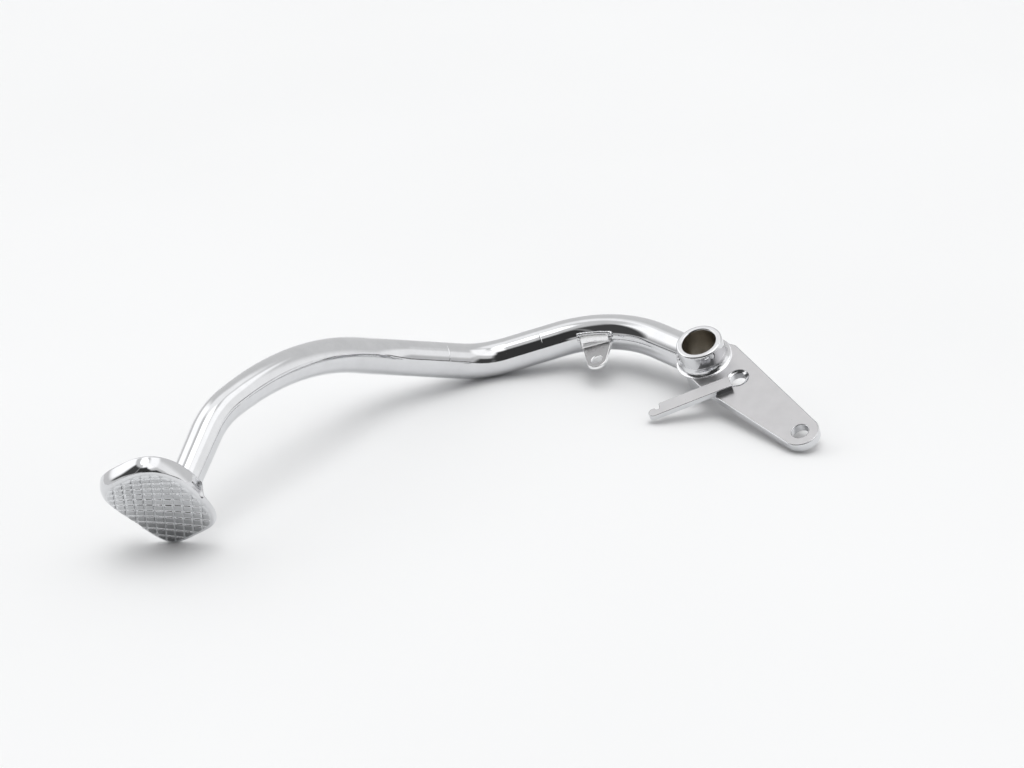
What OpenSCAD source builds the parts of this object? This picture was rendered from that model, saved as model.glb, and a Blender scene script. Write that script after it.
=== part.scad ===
// Rear brake pedal: a bent tube welded to a pivot sleeve, with a rod arm, a spring hook,
// a switch tab and a pressed foot pad.
// It is drawn as it sits on the vehicle: X forward, Y up, Z outboard, with the origin at the
// middle of the pivot bore. Then it is turned to lie as it comes to rest on a table.

/* [Pivot sleeve] */
// Outer diameter of the sleeve
sleeve_od = 23.5; // [22:0.1:26]
// Diameter of the bore
bore_d = 17.2; // [14:0.1:18.5]
// Length of the sleeve
sleeve_len = 28; // [26:0.5:34]
// Chamfer at each mouth of the bore
bore_chamfer = 0.5; // [0.2:0.1:0.8]
// Rounding of the sleeve's outer edges
sleeve_edge = 1.1; // [0.4:0.1:1.4]

/* [Lever tube] */
// Outer diameter of the tube
tube_d = 18.5; // [16:0.1:20]
// Wall of the tube
tube_wall = 2; // [1.5:0.1:2.6]
// Outer diameter at the swaged front end
tip_d = 14.2; // [12.5:0.1:16]
// Corner of the first bend, below the pivot
corner_1 = [13.5, -61.5, 0]; // [-400:0.5:400]
// Corner of the second bend, where the tube turns outboard
corner_2 = [80, -88, 7]; // [-400:0.5:400]
// Corner of the third bend
corner_3 = [127.5, -93.5, 46.5]; // [-400:0.5:400]
// Corner of the fourth bend, the long one
corner_4 = [167.5, -78, 92.5]; // [-400:0.5:400]
// Corner of the last bend, before the pad
corner_5 = [221, -54.5, 109]; // [-400:0.5:400]
// Centreline radius of the first bend
bend_1 = 58; // [50:0.5:64]
// Centreline radius of the second bend
bend_2 = 42; // [34:0.5:60]
// Centreline radius of the third bend
bend_3 = 73; // [50:0.5:90]
// Centreline radius of the fourth bend
bend_4 = 158; // [120:1:160]
// Centreline radius of the last bend
bend_5 = 52; // [40:0.5:56]

/* [Rod arm] */
// Thickness of the arm's plate
arm_t = 4.5; // [3:0.1:6]
// Distance from the pivot to the rod pin's hole
arm_reach = 78; // [70:0.5:90]
// Radius of the arm's rounded tip
arm_tip_r = 9.2; // [8:0.1:12]
// Diameter of the rod pin's hole
pin_hole_d = 8.3; // [6:0.1:10]
// Width of the plate left around the sleeve
arm_hub_rim = 0.9; // [0.7:0.1:1.6]
// Front shoulder of the plate
front_shoulder = [12, 16]; // [-40:0.5:40]
// Rear shoulder of the plate
rear_shoulder = [-10.5, 6.5]; // [-40:0.5:40]
// Rounding of the rear shoulder
rear_shoulder_r = 5.5; // [4:0.1:7]
// Rounding of the front shoulder
front_shoulder_r = 2; // [1:0.1:4]
// Place of the second hole, beside the hook's root
root_hole_at = [-2.3, 25]; // [-40:0.1:40]
// Diameter of the second hole
root_hole_d = 8; // [6:0.1:8.4]
// Diameter of the shallow dish around the second hole
root_dish_d = 11; // [9.6:0.1:12]
// Depth of that dish
root_dish_depth = 1.1; // [0.6:0.1:1.6]

/* [Spring hook] */
// Thickness of the hook's flat bar
hook_t = 3; // [2.5:0.1:4]
// Width of the bar
hook_w = 7.5; // [6:0.1:9]
// Length of the bar, root to nose
hook_len = 43.5; // [38:0.5:50]
// Middle of the bar's square root end
hook_root = [2.7, 26.4]; // [-40:0.1:40]
// Direction of the bar, in degrees from straight ahead
hook_angle = -21; // [-30:0.5:-10]
// Length of the narrowed nose
nose_len = 6.3; // [5:0.1:8]
// Width of the narrowed nose
nose_w = 5.3; // [4:0.1:6]
// Radius of the notch behind the nose
notch_r = 1.1; // [0.8:0.1:1.4]

/* [Switch tab] */
// Thickness of the tab's sheet
tab_t = 1.8; // [1.2:0.1:2.5]
// Reach of the tab beyond its saddle
tab_reach = 19.1; // [17:0.1:23]
// Width of the tab at the saddle
tab_root_w = 15.5; // [12:0.5:20]
// Radius of the tab's rounded end
tab_end_r = 5.3; // [4.5:0.1:7]
// Distance of the tab's hole from the middle of its rounded end, toward the tube
tab_hole_back = 0.8; // [0:0.1:2]
// Diameter of the tab's hole
tab_hole_d = 5.5; // [3:0.1:7]
// How far round the tube the saddle reaches, in degrees
saddle_wrap = 34; // [32:1:44]
// Place along the first bend, in degrees from its start
tab_place = 35; // [20:1:45]
// Skew of the tab from square to the tube, in degrees
tab_skew = 7; // [-10:1:12]
// Tilt of the tab's leaf out of the bend's plane, in degrees
tab_tilt = 7; // [-8:1:8]

/* [Foot pad] */
// Length of the pad, across the vehicle
pad_len = 54; // [48:0.5:60]
// Width of the pad, along the vehicle
pad_w = 40.6; // [36:0.2:44]
// Depth of the pad's turned-down flange
pad_depth = 8.7; // [7.6:0.1:10.5]
// Thickness of the pressed sheet
pad_t = 1.6; // [1.3:0.1:1.8]
// Outer radius of the rolled edge at the outboard end
pad_edge_r = 3.4; // [2.6:0.1:4]
// Outer radius of the rolled edge at the inboard end
pad_edge_in = 2; // [1.9:0.1:2.4]
// Rise of the two ends above the middle
pad_dish = 3.4; // [0:0.1:4.5]
// Squareness of the outline's outboard half: 2 is an ellipse
pad_square = 3; // [2.5:0.1:5]
// Squareness of the outline's inboard half
pad_square_in = 4.5; // [2.5:0.1:5.5]
// Narrowing of the outline toward the inboard end, as a share for each millimetre
pad_taper = 0.005; // [0:0.001:0.01]
// End of the deep part of the flange, from the pad's middle
flange_end = -7.5; // [-12:0.5:-4]
// Length over which the flange runs out
flange_runout = 3; // [2:0.5:6]
// Depth of the low rim beyond the deep part
flange_low = 2.3; // [2.2:0.1:4]
// Place of the pad's middle
pad_at = [268.1, -28.1, 106.6]; // [-400:0.1:400]
// Cant, yaw and pitch of the pad, in degrees
pad_turn = [-6.96, 18.48, -36.98]; // [-180:0.1:180]
// Place of the tube's end on the pad's back, forward and outboard of its middle
foot_at = [-7.5, -5.7]; // [-12:0.1:12]
// Pitch of the tread's studs
tread_pitch = 4.3; // [4:0.05:6]
// Place of one stud's middle, forward and outboard of the pad's middle
tread_from = [-1.3, 0.8]; // [-5:0.1:5]
// Turn of the tread's rows from square to the pad, in degrees
tread_turn = 38.6; // [0:0.1:60]
// Height of the tread's studs
tread_h = 0.5; // [0.3:0.1:1]
// Widths left bare at the pad's sides and ends
tread_margin = [4.1, 4.4]; // [3.5:0.1:7]
// Shift of the tread's field from the pad's middle
tread_shift = [0.6, -0.6]; // [-1.5:0.1:1.5]

/* [Welds] */
// Clearance at which the pieces are set together before they are welded
seat_gap = 0.1; // [0.05:0.05:0.3]
// Width of the fillet between the sleeve and the plate, on the plate
fillet_leg = 2.8; // [2:0.1:4]
// Height of that fillet, on the sleeve
fillet_rise = 4; // [2.5:0.1:4.6]
// Radius of the bead between the tube and the sleeve
bead_r = 1.7; // [1:0.1:2.5]
// Leg of the fillet under the hook bar
hook_bead_leg = 1.6; // [0.8:0.1:2.5]
// Length of that fillet
hook_bead_len = 7; // [4:0.5:8]
// Start of that fillet, from the bar's root
hook_bead_from = 1.5; // [0.5:0.5:2]
// Radius of the beads around the tab's saddle
tab_bead_r = 1.2; // [0.8:0.1:1.4]

/* [Rest] */
// Turns that lay the pedal down as it rests, in degrees about X, Y and Z
lay = [-8.27, 20.37, -151.02]; // [-180:0.01:180]

/* [Hidden] */

fine = 64;
chrome = [0.83, 0.84, 0.86];
satin = [0.74, 0.74, 0.75];
weld_grey = [0.62, 0.62, 0.63];

tube_r = tube_d / 2;
sleeve_r = sleeve_od / 2;
arm_top = arm_t / 2;
arm_hub_r = sleeve_r + arm_hub_rim;

// Steps and sides of the lofted parts
loft_sides = 32;
arc_step = 3.6;
bead_sides = 10;
bead_rings = 40;
pad_points = 72;

function unit(v) = v / norm(v);
function mix(a, b, f) = a + (b - a) * f;

// The tube's bends: each corner, its radius, its turn and the run that it takes from both sides
landing_depth = pad_t + 2;
pad_x = turned([1, 0, 0], pad_turn);
pad_y = turned([0, 1, 0], pad_turn);
pad_z = turned([0, 0, 1], pad_turn);
landing = pad_at - landing_depth * pad_y + foot_at.x * pad_x + foot_at.y * pad_z;
path = [[0, 0, 0], corner_1, corner_2, corner_3, corner_4, corner_5, landing];
radii = [0, bend_1, bend_2, bend_3, bend_4, bend_5];
last_bend = len(radii) - 1;

function turned(v, a) =
    let (x = [v.x, v.y * cos(a.x) - v.z * sin(a.x), v.y * sin(a.x) + v.z * cos(a.x)])
    let (y = [x.x * cos(a.y) + x.z * sin(a.y), x.y, -x.x * sin(a.y) + x.z * cos(a.y)])
    [y.x * cos(a.z) - y.y * sin(a.z), y.x * sin(a.z) + y.y * cos(a.z), y.z];
function heading(i) = unit(path[i + 1] - path[i]);
function turn(i) = acos(heading(i - 1) * heading(i));
function run_in(i) = i < 1 || i > last_bend ? 0 : radii[i] * tan(turn(i) / 2);
function bend_start(i) = path[i] - run_in(i) * heading(i - 1);
function bend_end(i) = path[i] + run_in(i) * heading(i);
function bend_axis(i) = unit(cross(heading(i - 1), heading(i)));
function bend_out(i) = cross(heading(i - 1), bend_axis(i));
function bend_centre(i) = bend_start(i) - radii[i] * bend_out(i);
function bend_heading(i, a) = cos(a) * heading(i - 1) - sin(a) * bend_out(i);
function bend_point(i, a) =
    bend_centre(i) + radii[i] * (cos(a) * bend_out(i) + sin(a) * heading(i - 1));

// Stations [point, heading] of the swaged length, from the third bend to the pad
swage_from = 3;
function arc_stations(i) =
    let (steps = ceil(turn(i) / arc_step))
    [
        for (k = [0:steps])
            let (a = k * turn(i) / steps)
            [bend_point(i, a), bend_heading(i, a)]
    ];
overrun = 12;
swage_overlap = 0.5;
stations = concat(
    [[bend_end(swage_from) - swage_overlap * heading(swage_from), heading(swage_from)]],
    arc_stations(4),
    arc_stations(5),
    [[path[last_bend + 1] + overrun * heading(last_bend), heading(last_bend)]]
);
function travelled(s, k) = k < 1 ? 0 : travelled(s, k - 1) + norm(s[k][0] - s[k - 1][0]);
swage_len = travelled(stations, len(stations) - 1);
function swage_r(k) = mix(tube_r, tip_d / 2, travelled(stations, k) / swage_len);

// A ring of points around a path, kept from twisting by one sideways direction
sideways = [0.1, 1, 0];
function ring(point, dir, r, sides, side) =
    let (u = unit(cross(dir, side)))
    let (v = cross(u, dir))
    [for (k = [0:sides - 1]) point + r * (cos(360 * k / sides) * u + sin(360 * k / sides) * v)];

// Side faces between two rings of n points that start at a and b
function band(a, b, n) = [
    for (k = [0:n - 1]) each [
        [a + k, a + (k + 1) % n, b + (k + 1) % n],
        [a + k, b + (k + 1) % n, b + k]
    ]
];
function flipped(faces) = [for (f = faces) [f[2], f[1], f[0]]];
function flat(lists) = [for (l = lists) each l];

// Places children with their X, Y and Z along three given directions
module at(o, x, y, z) {
    multmatrix([
        [x.x, y.x, z.x, o.x],
        [x.y, y.y, z.y, o.y],
        [x.z, y.z, z.z, o.z],
        [0, 0, 0, 1]
    ]) children();
}

// A straight rod between two points of the path
module straight(a, b, r) {
    z = unit(b - a);
    x = unit(cross(z, sideways));
    at(a, x, cross(z, x), z) cylinder(h = norm(b - a), r = r, $fn = fine);
}

// Places children in the frame of a bend: its centre, outward start direction and heading
module in_bend(i) {
    at(bend_centre(i), bend_out(i), heading(i - 1), bend_axis(i)) children();
}

// A low collar over the seam where a straight meets a bend
seam_gap = 0.1;
seam_len = 0.8;
seam_rise = 0.02;
module seam(point, dir, r) {
    straight(point - seam_len / 2 * dir, point + seam_len / 2 * dir, r + seam_rise);
}

// The full-diameter part of the tube, from the pivot to the end of the third bend
module full_run(r) {
    straight(path[0], bend_start(1) - seam_gap * heading(0), r);
    for (i = [1:swage_from]) {
        in_bend(i) rotate_extrude(angle = turn(i), $fn = fine)
            translate([radii[i], 0]) circle(r = r);
        seam(bend_start(i), heading(i - 1), r);
    }
    for (i = [1:swage_from - 1]) {
        seam(bend_end(i), heading(i), r);
        gap = seam_gap * heading(i);
        straight(bend_end(i) + gap, bend_start(i + 1) - gap, r);
    }
}

// The swaged part: a loft that tapers along its stations, thinner all round by the inset
module swaged_run(inset, grow) {
    count = len(stations);
    rings = [
        for (k = [0:count - 1])
            ring(stations[k][0], stations[k][1], grow * (swage_r(k) - inset), loft_sides, sideways)
    ];
    sides = flat([for (k = [0:count - 2]) band(k * loft_sides, (k + 1) * loft_sides, loft_sides)]);
    cap_a = [for (k = [0:loft_sides - 1]) loft_sides - 1 - k];
    cap_b = [for (k = [0:loft_sides - 1]) (count - 1) * loft_sides + k];
    polyhedron(points = flat(rings), faces = concat(sides, [cap_a], [cap_b]), convexity = 6);
}

module in_pad() {
    at(pad_at, pad_x, pad_y, pad_z) children();
}

// Everything in front of the pad's inner face
module behind_pad() {
    in_pad() translate([-pad_w, -pad_t - seat_gap, -pad_len])
        cube([2 * pad_w, pad_len, 2 * pad_len]);
}

module lever_tube() {
    color(chrome) difference() {
        union() {
            full_run(tube_r);
            swaged_run(0, 1.008);
        }
        full_run(tube_r - tube_wall);
        swaged_run(tube_wall, 0.996);
        cylinder(h = 2 * sleeve_len, r = sleeve_r + seat_gap, center = true, $fn = 96);
        behind_pad();
    }
}

module sleeve_profile() {
    half = sleeve_len / 2;
    difference() {
        translate([bore_d / 2, -half]) square([sleeve_r - bore_d / 2, sleeve_len]);
        for (s = [-1, 1]) {
            translate([bore_d / 2, s * half]) rotate(45) square(bore_chamfer * sqrt(2), center = true);
            difference() {
                translate([sleeve_r - sleeve_edge, s * (half - sleeve_edge / 2) - sleeve_edge / 2])
                    square([2 * sleeve_edge, sleeve_edge]);
                translate([sleeve_r - sleeve_edge, s * (half - sleeve_edge)])
                    circle(r = sleeve_edge, $fn = fine);
            }
        }
    }
}

module pivot_sleeve() {
    color(chrome) rotate_extrude($fn = 96) sleeve_profile();
}

// Two circles and the straight sides that touch both
module taper(a, ra, b, rb) {
    d = b - a;
    lean = asin((ra - rb) / norm(d));
    base = atan2(d.y, d.x);
    up = base + 90 - lean;
    down = base - 90 + lean;
    translate(a) circle(r = ra, $fn = fine);
    translate(b) circle(r = rb, $fn = fine);
    polygon([
        a + ra * [cos(down), sin(down)],
        b + rb * [cos(down), sin(down)],
        b + rb * [cos(up), sin(up)],
        a + ra * [cos(up), sin(up)]
    ]);
}

module arm_outline(grow = 0) {
    places = [[0, 0], front_shoulder, [0, arm_reach], rear_shoulder];
    rounds = [for (r = [arm_hub_r, front_shoulder_r, arm_tip_r, rear_shoulder_r]) r + grow];
    for (i = [0:3]) {
        next = (i + 1) % 4;
        taper(places[i], rounds[i], places[next], rounds[next]);
    }
    polygon(places);
}

module rod_arm() {
    color(satin) difference() {
        translate([0, 0, -arm_t / 2]) linear_extrude(height = arm_t) arm_outline();
        cylinder(h = 2 * sleeve_len, r = sleeve_r + seat_gap, center = true, $fn = 96);
        straight(path[0], bend_start(1), tube_r + seat_gap);
        translate([0, arm_reach, 0]) cylinder(h = 4 * arm_t, d = pin_hole_d, center = true, $fn = fine);
        translate([root_hole_at.x, root_hole_at.y, 0]) {
            cylinder(h = 4 * arm_t, d = root_hole_d, center = true, $fn = fine);
            translate([0, 0, arm_top - root_dish_depth])
                cylinder(h = root_dish_depth, d1 = root_hole_d, d2 = root_dish_d, $fn = fine);
        }
    }
}

module hook_outline() {
    nose_y = hook_w / 2 - nose_w;
    shoulder = hook_len - nose_len;
    corner_r = 1.2;
    difference() {
        union() {
            translate([0, -hook_w / 2 + corner_r]) square([shoulder, hook_w - corner_r]);
            translate([0, -hook_w / 2]) square([shoulder - corner_r, hook_w]);
            translate([shoulder - corner_r, -hook_w / 2 + corner_r]) circle(r = corner_r, $fn = fine);
            translate([shoulder - 1, nose_y]) square([1 + nose_len - nose_w / 2, nose_w]);
            translate([hook_len - nose_w / 2, nose_y + nose_w / 2]) circle(d = nose_w, $fn = fine);
        }
        translate([shoulder + notch_r, nose_y + notch_r * 0.4]) circle(r = notch_r, $fn = fine);
        translate([shoulder, nose_y - notch_r]) square([2 * notch_r, notch_r * 1.4]);
    }
}

module spring_hook() {
    color(satin) translate([hook_root.x, hook_root.y, arm_top + seat_gap]) rotate(hook_angle)
        linear_extrude(height = hook_t) hook_outline();
}

// The tab's frame: in the first bend, at the tab's place
module at_tab() {
    in_bend(1) rotate(tab_place) children();
}
saddle_r = tube_r + seat_gap + tab_t;
tab_low = -0.2;
tab_drop = tab_root_w / 2 * sin(abs(tab_tilt));
tab_lap = 0.4;
tab_shoulder = 1;
tab_end_x = saddle_r + tab_reach - tab_end_r;
tab_hole_x = tab_end_x - tab_hole_back;
saddle_span = 2 * asin(tab_root_w / 2 / (bend_1 - tube_r));

// Cross-section of the saddle: a band round the tube's inner side, in the bend's plane
module saddle_band(grow = 0) {
    start = asin((tab_low - tab_drop) / tube_r);
    stop = saddle_wrap + grow / tube_r * 180 / PI;
    intersection() {
        difference() {
            circle(r = saddle_r + grow, $fn = fine);
            circle(r = tube_r + seat_gap - 2 * grow, $fn = fine);
        }
        polygon([
            [0, 0],
            3 * saddle_r * [-cos(start), sin(start)],
            3 * saddle_r * [-cos(saddle_wrap / 2), sin(saddle_wrap / 2)],
            3 * saddle_r * [-cos(stop), sin(stop)]
        ]);
    }
}

// The frame of the tab's leaf, with X away from the tube
module in_leaf() {
    translate([bend_1, 0, 0]) rotate(180 + tab_skew) rotate([tab_tilt, 0, 0]) children();
}

module tab_outline() {
    root_x = sqrt(saddle_r * saddle_r - pow(tab_low + tab_t + tab_drop, 2)) - tab_lap;
    polygon([
        [root_x, -tab_root_w / 2],
        [saddle_r + tab_shoulder, -tab_root_w / 2],
        [tab_end_x, -tab_end_r],
        [tab_end_x, tab_end_r],
        [saddle_r + tab_shoulder, tab_root_w / 2],
        [root_x, tab_root_w / 2]
    ]);
    translate([tab_end_x, 0]) circle(r = tab_end_r, $fn = fine);
}

module switch_tab() {
    color(satin) at_tab() difference() {
        union() {
            rotate(-saddle_span / 2) rotate_extrude(angle = saddle_span, $fn = fine)
                translate([bend_1, 0]) saddle_band();
            in_leaf() translate([0, 0, tab_low]) linear_extrude(height = tab_t) tab_outline();
        }
        rotate(-saddle_span) rotate_extrude(angle = 2 * saddle_span, $fn = 96)
            translate([bend_1, 0]) circle(r = tube_r + seat_gap, $fn = 96);
        in_leaf() translate([tab_hole_x, 0, 0])
            cylinder(h = 2 * tube_d, d = tab_hole_d, center = true, $fn = fine);
    }
}

// A point of the pad's rounded oblong outline at a given inset
function squareness(z) = z < 0 ? pad_square_in : pad_square;
function outline_point(a, inset) =
    let (c = cos(a))
    let (s = sin(a))
    let (power = 2 / squareness(s))
    let (z = (pad_len / 2 - inset) * sign(s) * pow(abs(s), power))
    [(narrowed(z) * pad_w / 2 - inset) * sign(c) * pow(abs(c), power), z];
narrow_blend = 4;
function narrowed(z) = 1 - pad_taper * (sqrt(z * z + narrow_blend * narrow_blend) - z) / 2;
function pad_rise(z) = pad_dish * pow(2 * z / pad_len, 2);
function edge_r(a) = mix(pad_edge_in, pad_edge_r, max(0, sin(a)));
pad_angles = [for (k = [0:pad_points - 1]) 360 * k / pad_points];
// A ring of the shell, thin millimetres inside its skin, at an angle round the rolled edge
function pad_ring(thin, roll, share) = [
    for (a = pad_angles)
        let (r = edge_r(a) - thin)
        let (p = share * outline_point(a, thin + r * (1 - cos(roll))))
        [p.x, pad_rise(p.y) - thin - r * (1 - sin(roll)), p.y]
];
// The flange's lower edge: deep outboard, running out to a low rim inboard
function flange_share(z) = min(1, max(0, (z - flange_end) / flange_runout + 1));
function flange_depth(z) =
    let (f = flange_share(z))
    mix(flange_low, pad_depth, f * f * (3 - 2 * f));
function rim_ring(thin) = [
    for (a = pad_angles)
        let (p = outline_point(a, thin))
        [p.x, pad_rise(p.y) - max(flange_depth(p.y), edge_r(a) + rim_least), p.y]
];
rim_least = 0.2;
face_shares = [0.8, 0.55, 0.28];
function shell_rings(thin) = concat(
    [rim_ring(thin)],
    [for (roll = [0:15:90]) pad_ring(thin, roll, 1)],
    [for (f = face_shares) pad_ring(thin, 90, f)]
);

module pad_shell() {
    outer = shell_rings(0);
    inner = shell_rings(pad_t);
    count = len(outer);
    n = pad_points;
    skip = count * n;
    outer_sides = flat([for (k = [0:count - 2]) band(k * n, (k + 1) * n, n)]);
    inner_sides = flat([for (k = [0:count - 2]) band(skip + k * n, skip + (k + 1) * n, n)]);
    top = 2 * skip;
    last = (count - 1) * n;
    outer_cap = [for (k = [0:n - 1]) [last + k, last + (k + 1) % n, top]];
    inner_cap = [for (k = [0:n - 1]) [skip + last + k, skip + last + (k + 1) % n, top + 1]];
    polyhedron(
        points = concat(flat(outer), flat(inner), [[0, 0, 0], [0, -pad_t, 0]]),
        faces = concat(outer_sides, outer_cap, flipped(inner_sides), flipped(inner_cap), band(skip, 0, n)),
        convexity = 6
    );
}

// Whether a stud's middle lies on the part of the face that has the tread
function on_tread(spot) =
    let (x = abs(spot.x - tread_shift.x) / (narrowed(spot.y) * pad_w / 2 - tread_margin.x))
    let (z = abs(spot.y - tread_shift.y) / (pad_len / 2 - tread_margin.y))
    pow(x, squareness(spot.y)) + pow(z, squareness(spot.y)) < 1;
tread_half = ceil(pad_len / tread_pitch / 2) + 4;
stud_sink = 0.3;
stud_foot = 0.45 * tread_pitch;
stud_head = 0.36 * tread_pitch;
function pad_slope(z) = 8 * pad_dish * z / pow(pad_len, 2);

// One stud of the tread: a low square frustum
module stud(x, z) {
    translate([x, pad_rise(z), z]) rotate([-90 - atan(pad_slope(z)), 0, 0]) rotate(-45 - tread_turn)
        translate([0, 0, -stud_sink])
            cylinder(h = tread_h + stud_sink, r1 = stud_foot * sqrt(2), r2 = stud_head * sqrt(2), $fn = 4);
}

module foot_pad() {
    row = tread_pitch * [cos(tread_turn), sin(tread_turn)];
    column = tread_pitch * [-sin(tread_turn), cos(tread_turn)];
    color(chrome) in_pad() union() {
        pad_shell();
        for (i = [-tread_half:tread_half]) {
            for (j = [-tread_half:tread_half]) {
                spot = tread_from + i * row + j * column;
                if (on_tread(spot)) stud(spot.x, spot.y);
            }
        }
    }
}

// A closed bead of radius r swept round a loop of points
module bead(loop, r) {
    n = len(loop);
    rings = [
        for (k = [0:n - 1])
            let (along = unit(loop[(k + 1) % n] - loop[(k + n - 1) % n]))
            ring(loop[k], along, r, bead_sides, bead_side(loop, k))
    ];
    polyhedron(
        points = flat(rings),
        faces = flat([for (k = [0:n - 1]) band(k * bead_sides, (k + 1) % n * bead_sides, bead_sides)]),
        convexity = 6
    );
}
function middle(loop) = let (n = len(loop)) [for (k = [0:n - 1]) 1] * loop / n;
function bead_side(loop, k) = unit(loop[k] - middle(loop));

module sleeve_weld() {
    hollow = [
        for (a = [0:15:90]) [fillet_leg * (1 - sin(a)), fillet_rise * (1 - cos(a))]
    ];
    color(weld_grey) difference() {
        translate([0, 0, arm_top + seat_gap]) rotate_extrude($fn = 96)
            translate([sleeve_r + seat_gap, 0]) polygon(concat([[0, 0]], hollow));
        straight(path[0], bend_start(1), tube_r + seat_gap);
    }
}

module hook_weld() {
    leg = hook_bead_leg;
    hollow = leg * 1.3;
    color(weld_grey) translate([hook_root.x, hook_root.y, arm_top + seat_gap]) rotate(hook_angle)
        translate([hook_bead_from, -hook_w / 2 - seat_gap, 0]) rotate([0, 90, 0])
            linear_extrude(height = hook_bead_len) difference() {
                translate([-leg, -leg]) square(leg);
                translate([-hollow, -hollow]) circle(r = hollow, $fn = fine);
            }
}

// The saddle curve where the tube's skin meets the sleeve's skin
tube_side = cross(heading(0), [0, 0, 1]);
function saddle_point(a) =
    let (off = tube_r * cos(a))
    sqrt(sleeve_r * sleeve_r - off * off) * heading(0) + off * tube_side + [0, 0, tube_r * sin(a)];

module tube_weld() {
    spare = 2 * seat_gap;
    color(weld_grey) difference() {
        bead([for (k = [0:bead_rings - 1]) saddle_point(360 * k / bead_rings)], bead_r);
        cylinder(h = 2 * sleeve_len, r = sleeve_r + seat_gap, center = true, $fn = 96);
        straight(path[0], bend_start(1), tube_r + seat_gap);
        translate([0, 0, -arm_top - seat_gap]) linear_extrude(height = arm_t + 2 * seat_gap)
            arm_outline(seat_gap);
        cylinder(h = arm_top + fillet_rise + spare, r = sleeve_r + fillet_leg + spare, $fn = 96);
    }
}

module tab_weld() {
    mid = (tube_r + saddle_r) / 2;
    slack = seat_gap / bend_1 * 180 / PI;
    half_span = saddle_span / 2;
    corner = tab_bead_r / 2 / tube_r * 180 / PI;
    leg_r = tube_r + tab_bead_r / 3;
    leg_low = tab_low + tab_t + tab_bead_r + seat_gap;
    color(weld_grey) at_tab() difference() {
        union() {
            for (s = [-1, 1]) {
                low = asin((leg_low - s * sign(tab_tilt) * tab_drop) / leg_r);
                rotate(s * half_span) translate([bend_1, 0, 0]) rotate([90, 0, 0])
                    rotate(180 - saddle_wrap - corner)
                        rotate_extrude(angle = saddle_wrap + corner - low, $fn = 96)
                            translate([leg_r, 0]) circle(r = tab_bead_r, $fn = 48);
            }
            rotate(-half_span - slack) rotate_extrude(angle = 2 * (half_span + slack), $fn = 96)
                translate([bend_1 - mid * cos(saddle_wrap), mid * sin(saddle_wrap)])
                    circle(r = tab_bead_r, $fn = 48);
        }
        rotate(-saddle_span) rotate_extrude(angle = 2 * saddle_span, $fn = 180)
            translate([bend_1, 0]) circle(r = tube_r + seat_gap, $fn = 180);
        rotate(-half_span - slack) rotate_extrude(angle = 2 * (half_span + slack), $fn = 180)
            translate([bend_1, 0]) saddle_band(seat_gap);
    }
}

// Where the tube's skin meets the pad's back, an oval in the pad's frame
lean = [heading(last_bend) * pad_x, heading(last_bend) * pad_y, heading(last_bend) * pad_z];
foot_mid = [foot_at.x, -landing_depth, foot_at.y] + (landing_depth - pad_t) / lean.y * lean;
foot_u = unit([lean.x, 0, lean.z]);
foot_v = cross(foot_u, [0, 1, 0]);
foot_clear = 0.35;
foot_r = swage_r(len(stations) - 1) + foot_clear;
function foot_point(a) =
    foot_mid + foot_r / lean.y * cos(a) * foot_u + foot_r * sin(a) * foot_v;

module pad_weld() {
    color(weld_grey) difference() {
        in_pad() bead([for (k = [0:bead_rings - 1]) foot_point(360 * k / bead_rings)], bead_r);
        behind_pad();
        swaged_run(-seat_gap, 1.008);
    }
}

module laid() {
    rotate(lay) children();
}

laid() lever_tube();
laid() pivot_sleeve();
laid() rod_arm();
laid() spring_hook();
laid() switch_tab();
laid() foot_pad();
laid() sleeve_weld();
laid() tube_weld();
laid() hook_weld();
laid() tab_weld();
laid() pad_weld();
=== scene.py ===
import math
import bpy
from mathutils import Euler, Matrix, Vector, noise
from mathutils.geometry import tessellate_polygon


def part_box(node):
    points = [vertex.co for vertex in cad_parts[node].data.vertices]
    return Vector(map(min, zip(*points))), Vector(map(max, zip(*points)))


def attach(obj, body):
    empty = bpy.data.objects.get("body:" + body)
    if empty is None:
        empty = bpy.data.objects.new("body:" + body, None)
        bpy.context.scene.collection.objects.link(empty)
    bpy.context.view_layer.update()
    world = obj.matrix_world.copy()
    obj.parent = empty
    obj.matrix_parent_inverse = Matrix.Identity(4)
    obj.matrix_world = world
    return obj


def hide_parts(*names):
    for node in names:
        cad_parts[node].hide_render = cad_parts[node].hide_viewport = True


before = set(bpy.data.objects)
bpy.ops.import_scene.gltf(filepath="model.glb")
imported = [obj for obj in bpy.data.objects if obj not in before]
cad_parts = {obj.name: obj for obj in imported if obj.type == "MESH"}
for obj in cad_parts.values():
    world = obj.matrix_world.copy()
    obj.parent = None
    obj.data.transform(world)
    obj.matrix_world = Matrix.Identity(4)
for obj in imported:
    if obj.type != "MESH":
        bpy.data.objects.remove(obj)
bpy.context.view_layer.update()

# Sizes of the pedal, in millimetres and degrees, in the frame of the vehicle: X forward,
# Y up, Z outboard, origin in the middle of the pivot bore. LAY turns it as it lies.
LAY = (-8.27, 20.37, -151.02)
# The clearance at a joint, and how far an end, a seat and a fillet reach into what they meet
GAP, SUNK_END, SUNK_SEAT, SUNK_FILLET = 0.1, 0.4, 0.3, 0.5
# Pivot sleeve
SLEEVE_OD, BORE_D, SLEEVE_LEN, BORE_CHAMFER, SLEEVE_EDGE = 23.5, 17.2, 28.0, 0.5, 1.1
# Tube: the corners of its path with the radius of the bend at each, then its own radius,
# which narrows after the bend TAPER_FROM and would reach TIP_R that much past the end
CORNERS = [(0, 0, 0), (13.5, -61.5, 0), (80, -88, 7), (127.5, -93.5, 46.5), (167.5, -78, 92.5),
           (221, -54.5, 109)]
RADII = [0, 58, 42, 73, 158, 52]
TUBE_R, TIP_R, TAPER_FROM, TAPER_PAST = 9.25, 7.1, 3, 12
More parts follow.
